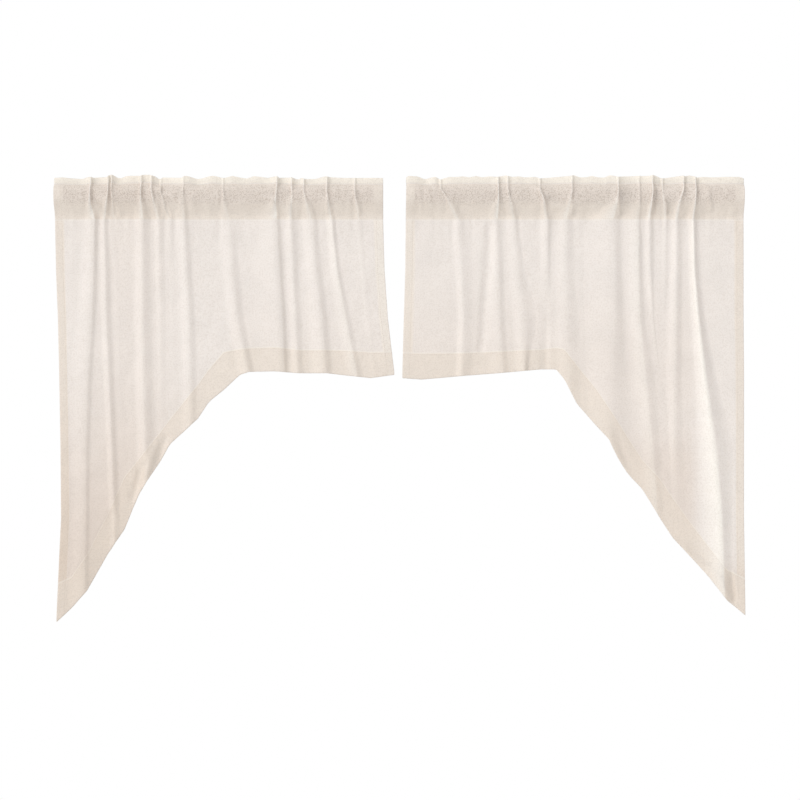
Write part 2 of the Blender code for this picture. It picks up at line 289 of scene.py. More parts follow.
def drapeColumns(drape):
    # each line of cloth down the drape, as (kind, place, share): in a side hem, a flat or a slope
    lowEdge, stops, rights, lefts, highEdge = fittedSlopes(drape["name"], cloth["seamDepth"] * 2)
    steps = division["slopeSteps"]
    hemColumns = division["hemColumns"]
    crowding = division["hemColumnCrowding"]
    hemShares = [(step / hemColumns) ** crowding for step in range(hemColumns + 1)]
    columns = [("lowHem", 0, share) for share in hemShares]
    for place in range(len(stops) - 1):
        if place:
            columns += [("right", place, 1 - step / steps) for step in range(1, steps + 1)]
        flat = stops[place + 1] - stops[place] - rights[place] - lefts[place]
        flats = max(1, round(flat / division["flatStep"]))
        last = place + 2 == len(stops)
        columns += [("flat", place, step / flats) for step in range(1, flats + (0 if last else 1))]
        if not last:
            columns += [("left", place + 1, step / steps) for step in range(1, steps + 1)]
    columns += [("highHem", 0, 1 - share) for share in hemShares[::-1]]
    return columns


def columnPlace(drape, column, depth):
    # where this line lies across the pair, with its lift and its fold
    lowEdge, stops, rights, lefts, highEdge = fittedSlopes(drape["name"], round(depth * 2))
    kind, place, share = column
    if kind == "lowHem":
        return mix(lowEdge, stops[0], share), 0.0, None
    if kind == "highHem":
        return mix(stops[-1], highEdge, share), 0.0, None
    if kind == "flat":
        return mix(stops[place] + rights[place], stops[place + 1] - lefts[place], share), 0.0, None
    fold = drape["folds"][place - 1]
    if kind == "right":
        return stops[place] + rights[place] * (1 - share), slopeLift(share, fold["crisp"]), fold
    return stops[place] - lefts[place - 1] * (1 - share), slopeLift(share, fold["crisp"]), fold


def softNoise(x, y, z):
    return noise.noise(Vector((x, y, z)))


# Creases between the folds, as (from x, from depth, to x, to depth, half width, height), in mm.
# A ridge is above 0, a trough below.
creaseLines = {
    "leftDrape": {
        "pocket": [
            (-635, 20, -632, 82, 4.5, -2.4), (-622, 34, -606, 82, 4.5, -3), (-600, 22, -598, 78, 4.5, -1.4),
            (-590, 30, -575, 82, 7, 2.1), (-548, 28, -532, 80, 4.5, -1.4), (-512, 18, -500, 66, 4.5, -1.2),
            (-488, 14, -489, 36, 4.5, -2.4), (-486, 44, -474, 80, 4.5, -2), (-430, 34, -422, 66, 5, 2.1),
            (-292, 16, -284, 50, 4.5, -1.8), (-268, 20, -258, 60, 6, 2.8), (-254, 18, -257, 80, 4.5, -2.4),
            (-246, 30, -236, 70, 7, 2.1), (-224, 18, -222, 60, 4.5, -2), (-214, 30, -210, 78, 7, 3.1),
            (-190, 20, -180, 74, 6, 1.8), (-158, 24, -150, 70, 7, 2.4), (-142, 28, -138, 66, 4.5, -0.8),
            (-92, 30, -84, 70, 7, 2.4),
        ],
        "body": [
            (-528, 590, -552, 660, 13, -4), (-504, 548, -520, 608, 11, 3.5), (-484, 536, -498, 585, 12, -3),
            (-618, 762, -632, 838, 16, -3), (-592, 690, -588, 740, 12, -2.5),
        ],
    },
    "rightDrape": {
        "pocket": [
            (60, 26, 66, 60, 6, 1.8), (84, 20, 96, 70, 4.5, -0.8), (104, 34, 116, 76, 9, 2.8),
            (196, 18, 200, 70, 4.5, -2.2), (212, 30, 226, 72, 9, 2.8), (286, 20, 296, 56, 6, 2.4),
            (300, 30, 306, 78, 4.5, -2), (346, 18, 342, 70, 4.5, -1), (364, 34, 352, 74, 9, 3.1),
            (396, 26, 398, 60, 4.5, -0.8), (448, 26, 452, 74, 5, 3.1), (457, 30, 456, 80, 4.5, -2.1),
            (521, 22, 516, 70, 5, 3.1), (526, 24, 520, 82, 4.5, -2.2), (545, 26, 548, 70, 5, 2.8),
            (556, 26, 552, 72, 4.5, -2.1), (604, 20, 601, 80, 5, 3.1), (611, 20, 609, 80, 4.5, -2.2),
            (634, 24, 640, 66, 5, 2.8),
        ],
        "body": [
            (186, 100, 168, 350, 15, -3.5), (447, 531, 466, 585, 14, -4),
            (597, 762, 643, 800, 9, -3), (643, 800, 674, 859, 9, 3.5), (682, 824, 690, 870, 9, -4),
        ],
    },
}

# Unevenness of hanging cotton, in mm: how far each kind moves the cloth, its length across and down the
# drape, and its own layer of the noise.
rippleKinds = {
    "broad": (1.2, 85, 500, 3.1),
    "gathers": (1.8, 9, 90, 7.7),
    "creases": (0.6, 24, 70, 5.2),
    "puckers": (0.5, 5, 1, 9.4),
    "pocket": (1.8, 6.5, 50, 1.9),
    "sway": (4.5, 30, 110, 4.6),
}
ripples = {
    "gatherReach": 45,
    "creaseLean": 0.4,  # how far small creases run to the left for each mm down
    "puckerReach": 8,
    "puckerRow": 0.3,  # the row of the noise that the puckers follow along the hem
    "frillForward": 0.8,
    "frillShare": 0.6,  # of the header's height, below which the frill leans forward less
    "frillBulge": 0.4,
    "pocketFade": (14, 1),  # above the seam, between which the pocket's creases end
    "swayMargin": 3,  # widths of a side hem
}


def ripple(kind, x, depth):
    height, lengthAcross, lengthDown, layer = rippleKinds[kind]
    return softNoise(x / lengthAcross, depth / lengthDown, layer) * height


def unevenness(x, depth, stitch=None):
    # forward movement of the cloth from its slack, its gathers, small creases and puckers at the hem
    nearSeam = math.exp(-abs(depth - cloth["seamDepth"]) / ripples["gatherReach"])
    total = ripple("broad", x, depth) + ripple("gathers", x, depth) * nearSeam
    total += ripple("creases", x + ripples["creaseLean"] * depth, depth)
    if stitch is not None:
        total += ripple("puckers", x, ripples["puckerRow"]) * bump(depth, stitch, ripples["puckerReach"])
    return total


def creaseHeight(drape, part, x, depth):
    total = 0.0
    for x1, depth1, x2, depth2, halfWidth, height in creaseLines[drape["name"]][part]:
        alongX, alongDepth = x2 - x1, depth2 - depth1
        length = math.hypot(alongX, alongDepth)
        along = ((x - x1) * alongX + (depth - depth1) * alongDepth) / length
        across = ((x - x1) * alongDepth - (depth - depth1) * alongX) / length
        past = max(0.0, -along, along - length)
        total += height * bump(math.hypot(across, past), 0, halfWidth)
    return total


def layerSpread(depth):
    # half the distance between the heading's front and back layers
    closed = cloth["headingGap"] / 2
    closed += ripples["frillBulge"] * math.sin(math.pi * min(depth / cloth["headerHeight"], 1.0))
    if depth < closed:
        return closed * math.sqrt(1 - (1 - depth / closed) ** 2)
    if depth <= cloth["rodDepth"]:
        share = max(0.0, (depth - cloth["headerHeight"]) / (cloth["rodDepth"] - cloth["headerHeight"]))
        return mix(closed, cloth["rodClearance"], math.sin(share * math.pi / 2))
    share = smoothShare(cloth["taperDepth"], cloth["seamDepth"] - cloth["seamBand"], depth)
    return mix(cloth["rodClearance"], closed, share)


def frillHeight(drape, x):
    # the frill's scalloped top, rounded between the table's rows
    table = drape["frillTop"]
    for (place, height), (nextPlace, nextHeight) in zip(table, table[1:]):
        if x <= nextPlace:
            return mix(height, nextHeight, smoothShare(place, nextPlace, x))
    return table[-1][1]


def pocketCreases(drape, x, depth):
    # the small gathers of the pocket's front, gone at its two seams
    fadeStart, fadeEnd = [cloth["seamDepth"] - above for above in ripples["pocketFade"]]
    inPocket = smoothShare(cloth["headerHeight"], cloth["rodDepth"], depth)
    inPocket *= 1 - smoothShare(fadeStart, fadeEnd, depth)
    return inPocket * (ripple("pocket", x, depth) + creaseHeight(drape, "pocket", x, depth))


def gatherSway(drape, x, depth):
    # the gathers wander sideways between the header and the seam
    header, seam = cloth["headerHeight"], cloth["seamDepth"]
    share = min(max((depth - header) / (seam - header), 0.0), 1.0)
    fromEdge = min(x - drape["lowXEdge"][0], drape["highXEdge"][0] - x)
    free = smoothShare(cloth["sideHem"], cloth["sideHem"] * ripples["swayMargin"], fromEdge)
    return ripple("sway", x, depth) * free * math.sin(math.pi * share) ** 2


def headingPoint(drape, column, depth, isFront):
    # both layers lean forward together in the header and at the seam; round the rod the gathers
    # stand outward on both sides
    x, lift, fold = columnPlace(drape, column, depth)
    x += gatherSway(drape, x, depth)
    pinch = lift * fold["pinch"] if fold else 0.0
    seam = lift * readPath(fold["seam"], cloth["seamDepth"]) if fold else 0.0
    belowHeader = smoothShare(cloth["headerHeight"], cloth["rodDepth"], depth)
    atSeam = smoothShare(cloth["taperDepth"], cloth["seamDepth"] - cloth["seamBand"], depth)
    atRod = belowHeader * (1 - atSeam)
    y = -pinch * (1 - belowHeader) + atSeam * (cloth["valleyPlane"] - seam)
    y -= unevenness(x, depth)
    top = frillHeight(drape, x)
    inFrill = 1 - smoothShare(cloth["headerHeight"] * ripples["frillShare"], cloth["rodDepth"], depth)
    y -= top * ripples["frillForward"] * inFrill
    if isFront:
        y -= layerSpread(depth) + pinch * atRod + pocketCreases(drape, x, depth)
    else:
        y += layerSpread(depth) + cloth["backPinchShare"] * pinch * atRod
    top *= 1 - smoothShare(0, cloth["rodDepth"], depth)
    return Vector((x, y, top - depth)) * mm


def tailSwing(x, depth):
    start, end = cloth["swingPlaces"]
    outward = min(max((x - start) / (end - start), 0.0), 1.0)
    return cloth["tailSwing"] * outward * smoothShare(*cloth["swingDepths"], depth)


def foldHeight(fold, depth, edge):
    if isinstance(fold["seam"], tuple):
        return readPath(fold["seam"], depth)
    fallen = max(0.0, depth - cloth["seamDepth"] - cloth["seamBand"]) / (edge - cloth["seamDepth"])
    return mix(fold["seam"], fold["low"], fallen)


def bodyPoint(drape, column, depth, stitch, edge):
    x, lift, fold = columnPlace(drape, column, depth)
    forward = lift * foldHeight(fold, depth, edge) if fold else 0.0
    forward += unevenness(x, depth, stitch) + creaseHeight(drape, "body", x, depth) + tailSwing(x, depth)
    y = cloth["valleyPlane"] - forward - cloth["headingGap"] / 2
    return Vector((x, y, -depth)) * mm


def edgeDepth(drape, column, place):
    # where this line meets the lower edge, place 1 of its table, or the hem's stitch line, place 2
    table = sorted(drape["lowerEdge"])
    depth = cloth["seamDepth"]
    for _ in range(division["edgeRounds"]):
        x = columnPlace(drape, column, depth)[0]
        depth = readTable([row[0] for row in table], [row[place] for row in table], x)
    return depth


def sheetRows():
    # the cloth from its raw edge behind the seam, up the back, over the header and down to the hem
    header, seam = cloth["headerHeight"], cloth["seamDepth"]
    channelRows, headerRows = division["channelRows"], division["headerRows"]
    channel = [mix(header, seam, step / channelRows) for step in range(channelRows)]
    frill = [header * (step / headerRows) ** division["headerCrowding"] for step in range(headerRows)]
    down = frill + channel
    rows = [("back", depth) for depth in [seam] + down[::-1]]
    rows += [("front", depth) for depth in down[1:]]
    bodyRows, hemRows = division["bodyRows"], division["hemRows"]
    rows += [("body", step / bodyRows) for step in range(bodyRows)]
    rows += [("body", division["lastBodyShare"])]
    rows += [("hem", 1 - (1 - step / hemRows) ** division["hemRowCrowding"]) for step in range(hemRows + 1)]
    return rows


def surfacePoint(drape, column, row, stitch, edge):
    zone, place = row
    if zone in ("back", "front"):
        return headingPoint(drape, column, place, zone == "front")
    depth = mix(cloth["seamDepth"], stitch, place) if zone == "body" else mix(stitch, edge, place)
    return bodyPoint(drape, column, depth, stitch, edge)


def surfaceGrid(drape):
    columns = drapeColumns(drape)
    rows = sheetRows()
    stitches = [edgeDepth(drape, column, 2) for column in columns]
    edges = [edgeDepth(drape, column, 1) for column in columns]
    grid = []
    for row in rows:
        lines = zip(columns, stitches, edges)
        grid.append([surfacePoint(drape, column, row, stitch, edge) for column, stitch, edge in lines])
    return columns, rows, grid


def backNormal(grid, row, column):
    # towards the cloth's wrong side, which faces the wall, and the rod inside the heading
    lastRow, lastColumn = len(grid) - 1, len(grid[0]) - 1
    across = grid[row][min(column + 1, lastColumn)] - grid[row][max(column - 1, 0)]
    down = grid[min(row + 1, lastRow)][column] - grid[max(row - 1, 0)][column]
    return across.cross(down).normalized()


def flatPlaces(grid, columns, rows):
    # each line's place across the flat cloth, and each row's place down it
    seamRow = rows.index(("body", 0.0))
    across = [0.0]
    for left, right in zip(grid[seamRow], grid[seamRow][1:]):
        across.append(across[-1] + (right - left).length)
    middle = len(columns) // 2
    heading = [0.0]
    for upper, lower in zip(grid[:seamRow], grid[1:seamRow + 1]):
        heading.append(heading[-1] + (lower[middle] - upper[middle]).length)
    down = []
    for row in range(len(rows)):
        if row < seamRow:
            down.append([heading[row]] * len(columns))
        else:
            down.append([heading[seamRow] - cloth["seamDepth"] * mm - point.z for point in grid[row]])
    return across, down


# Places of the cloth's tones between the palest, 0, and the darkest, 1. The frill's palest tone is a painted
# highlight on the header's top, and the pocket's darkest tone is doubled cloth with painted shade of the
# channel's hollow.
toneStops = {"frill": 0.0, "single": 0.35, "hem": 0.6, "pocket": 1.0}

# Painted shade that makes the cloth darker and warmer towards the bottom of the swags and tails: how strong,
# 0 to 1, and the two depths between which it grows.
paintedShadeDown = {
    "leftSwag": (0.12, 150, 400),
    "leftTail": (0.7, 320, 840),
    "leftTailStart": -350,  # the tail lies outside this place
    "leftMiddle": (0.15, -560, 130),  # how strong, its middle across the pair and its half width
    "rightSwag": (0.2, 150, 400),
    "rightTail": (0.3, 500, 600),
    "rightFade": (590, 625),  # places between which the tail turns pale again
    "rightEnd": (0.5, 760, 860),
    "hemShare": 0.5,  # how much of it shows in the doubled lower hem
}

# Tones of the heading, with depths in mm: a painted highlight in the frill, and painted shade below it that
# deepens into the channel.
headingTone = {
    "frillEnd": (-1, 3.5),  # from the header's foot
    "topTone": 0.82,
    "darkest": (2, 34),  # where the painted shade deepens, from the header's foot, and below the top
    "rodSpaceEnd": (42, 62),
    "sideHemExtra": 0.05,
}

# How the painted highlight spreads over a pinch's slope towards the light.
crestShape = {
    "power": 4,
    "fullPinch": 7,  # a pinch this high gets the full painted highlight on its side towards the light
}


def shadeGrowth(name, depth):
    amount, start, end = paintedShadeDown[name]
    return amount * smoothShare(start, end, depth)


def paintedShadeAt(drape, x, depth):
    # how strong the painted shade is here
    if drape is leftDrape:
        if x > paintedShadeDown["leftTailStart"]:
            return shadeGrowth("leftSwag", depth)
        amount, middle, halfWidth = paintedShadeDown["leftMiddle"]
        return shadeGrowth("leftTail", depth) + amount * bump(x, middle, halfWidth)
    inner = shadeGrowth("rightSwag", depth) + shadeGrowth("rightTail", depth)
    return inner * (1 - smoothShare(*paintedShadeDown["rightFade"], x)) + shadeGrowth("rightEnd", depth)


def layerTone(row, kind):
    # where the cloth's colour lies between the palest, in the frill, with its painted highlight, and the
    # pocket, doubled cloth with painted shade of the channel's hollow
    zone, depth = row
    isSideHem = kind in ("lowHem", "highHem")
    if zone == "hem":
        return toneStops["hem"]
    if zone == "body":
        return toneStops["hem"] if isSideHem else toneStops["single"]
    header = cloth["headerHeight"]
    belowFrill = smoothShare(*[header + past for past in headingTone["frillEnd"]], depth)
    start, end = headingTone["darkest"]
    # painted shade under the frill, deepening down the channel
    closed = mix(headingTone["topTone"], toneStops["pocket"], smoothShare(header + start, end, depth))
    tone = belowFrill * mix(closed, toneStops["hem"], smoothShare(*headingTone["rodSpaceEnd"], depth))
    return min(tone, toneStops["hem"] + headingTone["sideHemExtra"]) if isSideHem else tone


def paintedHighlightAndPaleHem(drape, row, column, depth):
    # the strength of the painted highlight on a pinch's or a fold's slope towards the light, and how pale
    # the inner side hem is, 0 to 1
    if column[0] == drape["innerHem"] and row[0] == "body":
        return drape["innerHemLight"]
    lift, fold = columnPlace(drape, column, depth)[1:]
    if not fold or column[0] != "left" or row[0] == "back":
        return 0.0
    if row[0] in ("body", "hem"):
        return lift * fold.get("glow", 0)
    return lift ** crestShape["power"] * min(fold["pinch"] / crestShape["fullPinch"], 1.0)


def stitchGap(row, depth, stitch):
    # how far below the nearest seam or hem stitching, in mm, up to a reach past which it doesn't matter
    reach = 20.0
    if row[0] in ("back", "front"):
        return max(row[1] - cloth["seamDepth"], -reach)
    belowSeam = min(depth - cloth["seamDepth"], reach)
    belowStitch = depth - stitch
    return belowStitch if abs(belowStitch) < belowSeam else belowSeam


def buildDrape(drape):
    columns, rows, grid = surfaceGrid(drape)
    across, down = flatPlaces(grid, columns, rows)
    gap = cloth["layerGap"] * mm
    hemColumns, lastColumn = division["hemColumns"], len(columns) - 1
    stitchRow, lastRow = rows.index(("hem", 0.0)), len(rows) - 1
    # the turned layers follow the lines of the hems they lie behind, back from each edge
    lines = [(c, 1) for c in range(hemColumns, -1, -1)] + [(c, 0) for c in range(lastColumn + 1)]
    lines += [(c, 1) for c in range(lastColumn, lastColumn - hemColumns - 1, -1)]
    levels = [(r, 0) for r in range(lastRow + 1)] + [(r, 1) for r in range(lastRow, stitchRow - 1, -1)]
    sheet = bmesh.new()
    bmesh.ops.create_grid(sheet, x_segments=len(lines) - 1, y_segments=len(levels) - 1, size=1)
    sheet.verts.ensure_lookup_table()
    uvLayer = sheet.loops.layers.uv.new("flatCloth")
    layers = sheet.verts.layers.float.new("layers")
    stitchGaps = sheet.verts.layers.float.new("stitchGap")
    # the painted highlight on slopes towards the light, and the paler inner side hem
    crests = sheet.verts.layers.float.new("paintedHighlightAndPaleHem")
    # painted shade towards the bottom of the swags and tails
    paintedShade = sheet.verts.layers.float.new("paintedShade")
    flat = []
    for place, vertex in enumerate(sheet.verts):
        row, isUnder = levels[place // len(lines)]
        column, isBehind = lines[place % len(lines)]
        turned = isUnder + isBehind
        offset = backNormal(grid, row, column) * gap * turned if turned else Vector()
        vertex.co = grid[row][column] + offset
        depth = -grid[row][column].z / mm
        # tone places, carrying the frill's painted highlight and the pocket's painted shade
        vertex[layers] = layerTone(rows[row], columns[column][0])
        vertex[crests] = paintedHighlightAndPaleHem(drape, rows[row], columns[column], depth)
        hemShare = paintedShadeDown["hemShare"] if rows[row][0] == "hem" else 1.0
        vertex[paintedShade] = paintedShadeAt(drape, grid[row][column].x / mm, depth) * hemShare
        vertex[stitchGaps] = stitchGap(rows[row], depth, -grid[stitchRow][column].z / mm)
        u, v = across[column], down[row][column]
        if isBehind:
            edge = across[0] if column <= hemColumns else across[lastColumn]
            u = 2 * edge - u
        if isUnder:
            v = 2 * down[lastRow][column] - v
        flat.append((u, v))
    for face in sheet.faces:
        for loop in face.loops:
            loop[uvLayer].uv = flat[loop.vert.index]
    mesh = bpy.data.meshes.new(drape["name"])
    sheet.to_mesh(mesh)
    sheet.free()
    mesh.shade_smooth()
    piece = bpy.data.objects.new(drape["name"], mesh)
    bpy.context.scene.collection.objects.link(piece)
    wall = piece.modifiers.new("clothThickness", "SOLIDIFY")
    wall.thickness = cloth["thickness"] * mm
    wall.offset = 0.0
    drape["grid"], drape["rows"], drape["columns"] = grid, rows, columns
    widths = [b - a for a, b in zip(across, across[1:])]
    lengths = [column + cloth["lowerHemTurn"] * mm for column in down[lastRow]]
    area = sum(w * (a + b) / 2 for w, a, b in zip(widths, lengths, lengths[1:]))
    area += cloth["sideHem"] * mm * (lengths[0] + lengths[-1])
    flatWidth = across[-1] + 2 * cloth["sideHem"] * mm
    flatLength = max(lengths)
    sizes = [round(size, 3) for size in (flatWidth, flatLength, area)]
    print(drape["name"], "cut to", sizes[0], "by", sizes[1], "area", sizes[2])
    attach(piece, "root")
    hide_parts(*drape["nodes"])
    return piece


for drape in drapes.values():
    drape["piece"] = buildDrape(drape)
print("drapes made")

# Stitches of thick cotton thread, in mm. They are usually about 3 mm apart: drawn wider so that they show.
stitching = {
    "pitch": 4.2,
    "length": 3.0,
    "thickness": 0.7,
    "lift": 0.45,
    # how far each line lies from its edge, in lines of the cloth's grid
    "aboveSeam": 0.4,
    "belowHemTop": 0.3,
    "inSideHem": 0.3,
    "colour": "#e8ded3",
    "roughness": 0.8,
}


def pointOn(grid, row, column):
    # a point of the surface and its front normal, between the lines of the grid
    r, c = min(int(row), len(grid) - 2), min(int(column), len(grid[0]) - 2)
    downShare, acrossShare = row - r, column - c
    upper = grid[r][c].lerp(grid[r][c + 1], acrossShare)
    lower = grid[r + 1][c].lerp(grid[r + 1][c + 1], acrossShare)
    return upper.lerp(lower, downShare), -backNormal(grid, round(row), round(column))


def stitchLine(target, grid, route):
    # short threads laid end to end along a route of (row, column) places on the cloth
    points = [pointOn(grid, row, column) for row, column in route]
    pitch, half = stitching["pitch"] * mm, stitching["length"] * mm / 2
    walked, due = 0.0, pitch / 2
    for (start, normal), (end, nextNormal) in zip(points, points[1:]):
        step = (end - start).length
        while step > 0 and due <= walked + step:
            place = start.lerp(end, (due - walked) / step)
            along = (end - start).normalized()
            addThread(target, place + normal * stitching["lift"] * mm, along, normal, half)
            due += pitch
        walked += step


def addThread(target, place, along, normal, half):
    made = bmesh.ops.create_icosphere(target, subdivisions=1, radius=1)
    side = normal.cross(along).normalized()
    thick = stitching["thickness"] * mm / 2
    for vertex in made["verts"]:
        x, y, z = vertex.co
        vertex.co = place + along * x * half + side * y * thick + normal * z * thick


def buildStitches(drape):
    grid, rows, columns = drape["grid"], drape["rows"], drape["columns"]
    lastColumn, hemColumns = len(columns) - 1, division["hemColumns"]
    threads = bmesh.new()
    seamRow, hemRow = rows.index(("body", 0.0)), rows.index(("hem", 0.0))
    headerRow = rows.index(("front", float(cloth["headerHeight"])))
    for row in (headerRow, seamRow - stitching["aboveSeam"], hemRow + stitching["belowHemTop"]):
        stitchLine(threads, grid, [(row, column) for column in range(lastColumn + 1)])
    inner = hemColumns - stitching["inSideHem"]
    for column in (inner, lastColumn - inner):
        stitchLine(threads, grid, [(row, column) for row in range(headerRow, len(rows))])
    mesh = bpy.data.meshes.new(drape["name"] + "Stitches")
    threads.to_mesh(mesh)
    threads.free()
    mesh.shade_smooth()
    piece = bpy.data.objects.new(drape["name"] + "Stitches", mesh)
    bpy.context.scene.collection.objects.link(piece)
    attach(piece, "root")
    return piece


stitchPieces = [buildStitches(drape) for drape in drapes.values()]
print("stitches made")

# Loose plain-weave cotton, unbleached and unlined: matt and a little sheer, with uneven, slubbed threads.
cotton = {
    "single": "#f4eee9",
    # colour of the painted highlight on slopes towards the light, also used for the paler inner side hem
    "crest": "#fffbf5",
    # colour of the painted shade towards the bottom of the swags and tails
    "shadeTint": "#f1e8e0",
    # frill: a painted highlight on the header's top
    "frill": "#fff9ef",
    "hem": "#f6ede3",
    # pocket: doubled cloth with painted shade of the channel's hollow
    "pocket": "#eee4db",
    "specks": "#a89784",
    "speckSize": 2.6,  # holes of the loose weave are under 1 mm: drawn coarser so that they show
    "speckStrength": (0.13, 0.13, 0.45),  # in the frill and single cloth, in hems and in the pocket, where the stronger specks are painted shade of the channel's hollow
    "speckRange": (0.44, 0.68),
    # painted highlight along the stitching
    "stitchRim": "#fbf6ef",
    "rimStrength": 0.5,
    "rimReach": (0.6, 2.2),  # mm from the stitching, between which the rim ends
    "slubShade": "#d3c4b3",
    "slubWidth": 1.9,  # real slubs are about 1 mm wide: drawn coarser so that they show
    "slubLength": 22,
    "slubRange": (0.16, 0.36),
    "slubStrength": 0.07,
    "blotchLength": 60,
    "blotchRange": (0.35, 0.65),
    "blotchTones": (0.985, 1.01),
    "roughness": 0.5,
    "specular": 0.6,
    "throughLight": 0.22,
    "weaveRelief": 0.25,
    "reliefHeight": 0.6,
}


def threadNoise(tree, acrossSize, downSize, detail):
    # noise on the flat cloth, in mm across and down it
    flat = addNode(tree, "ShaderNodeUVMap", {"uv_map": "flatCloth"})
    inMm = addNode(
        tree, "ShaderNodeVectorMath", {"operation": "SCALE"}, {"Scale": 1 / mm}, {0: flat.outputs[0]})
    scaled = addNode(
        tree, "ShaderNodeVectorMath", {"operation": "MULTIPLY"}, {1: (1 / acrossSize, 1 / downSize, 0)},
        {0: inMm.outputs[0]})
    return addNode(
        tree, "ShaderNodeTexNoise", {"noise_dimensions": "2D"},
        {"Scale": 1.0, "Detail": detail, "Roughness": 0.6}, {"Vector": scaled.outputs[0]}).outputs[0]


def clothTones(tree, layers, paintedShade):
    # single cloth, hems, frill and pocket by their tones, with a painted highlight in the frill and painted
    # shade in the pocket; a painted highlight on slopes towards the light and a paler inner side hem; and
    # painted shade towards the bottom of the swags and tails
    tone = addNode(tree, "ShaderNodeValToRGB", links={"Fac": layers})
    for name in ("single", "hem"):
        tone.color_ramp.elements.new(toneStops[name])
    for stop, name in zip(tone.color_ramp.elements, toneStops):
        stop.color = hexToLinear(cotton[name])
    # painted highlight on slopes towards the light, and the paler inner side hem
    crest = addNode(tree, "ShaderNodeAttribute", {"attribute_name": "paintedHighlightAndPaleHem"})
    crested = addNode(
        tree, "ShaderNodeMix", {"data_type": "RGBA"}, {7: hexToLinear(cotton["crest"])},
        {"Factor": crest.outputs["Fac"], 6: tone.outputs[0]})
    return addNode(
        tree, "ShaderNodeMix", {"data_type": "RGBA", "blend_type": "MULTIPLY"},
        {7: hexToLinear(cotton["shadeTint"])}, {"Factor": paintedShade, 6: crested.outputs[2]}).outputs[2]


def weaveMarks(tree, layers, slubs, base):
    # thick threads a shade darker, and the dark specks of the open weave, strongest in the pocket, where
    # they add painted shade of the channel's hollow
    low, high = cotton["slubRange"]
    slubShare = addNode(
        tree, "ShaderNodeMapRange", {"clamp": True},
        {"From Min": low, "From Max": high, "To Max": cotton["slubStrength"]}, {"Value": slubs})
    slubbed = addNode(
        tree, "ShaderNodeMix", {"data_type": "RGBA"}, {7: hexToLinear(cotton["slubShade"])},
        {"Factor": slubShare.outputs[0], 6: base})
    position = addNode(tree, "ShaderNodeTexCoord").outputs["Object"]
    speckNoise = addNode(
        tree, "ShaderNodeTexNoise", {"noise_dimensions": "3D"},
        {"Scale": 1 / (cotton["speckSize"] * mm), "Detail": 1.0}, {"Vector": position})
    low, high = cotton["speckRange"]
    speckShare = addNode(
        tree, "ShaderNodeMapRange", {"clamp": True}, {"From Min": low, "From Max": high},
        {"Value": speckNoise.outputs[0]})
    strengths = addNode(tree, "ShaderNodeValToRGB", links={"Fac": layers})
    strengths.color_ramp.elements.new(toneStops["hem"])
    for stop, strength in zip(strengths.color_ramp.elements, cotton["speckStrength"]):
        stop.color = (strength, strength, strength, 1.0)
    speckMix = addNode(
        tree, "ShaderNodeMath", {"operation": "MULTIPLY"},
        links={0: speckShare.outputs[0], 1: strengths.outputs[0]})
    return addNode(
        tree, "ShaderNodeMix", {"data_type": "RGBA"}, {7: hexToLinear(cotton["specks"])},
        {"Factor": speckMix.outputs[0], 6: slubbed.outputs[2]}).outputs[2]


def stitchRims(tree, paintedShade, base):
    # a painted highlight along each line of stitching, where the turned edge stands up, weaker where the
    # painted shade darkens the cloth
    gap = addNode(tree, "ShaderNodeAttribute", {"attribute_name": "stitchGap"})
    distance = addNode(tree, "ShaderNodeMath", {"operation": "ABSOLUTE"}, links={0: gap.outputs["Fac"]})
    strength = addNode(
        tree, "ShaderNodeMapRange", {"clamp": True}, {"To Min": cotton["rimStrength"], "To Max": 0.0},
        {"Value": paintedShade})
    near, far = cotton["rimReach"]
    share = addNode(
        tree, "ShaderNodeMapRange", {"clamp": True}, {"From Min": near, "From Max": far, "To Max": 0.0},
        {"Value": distance.outputs[0], "To Min": strength.outputs[0]})
    return addNode(
        tree, "ShaderNodeMix", {"data_type": "RGBA"}, {7: hexToLinear(cotton["stitchRim"])},
        {"Factor": share.outputs[0], 6: base}).outputs[2]


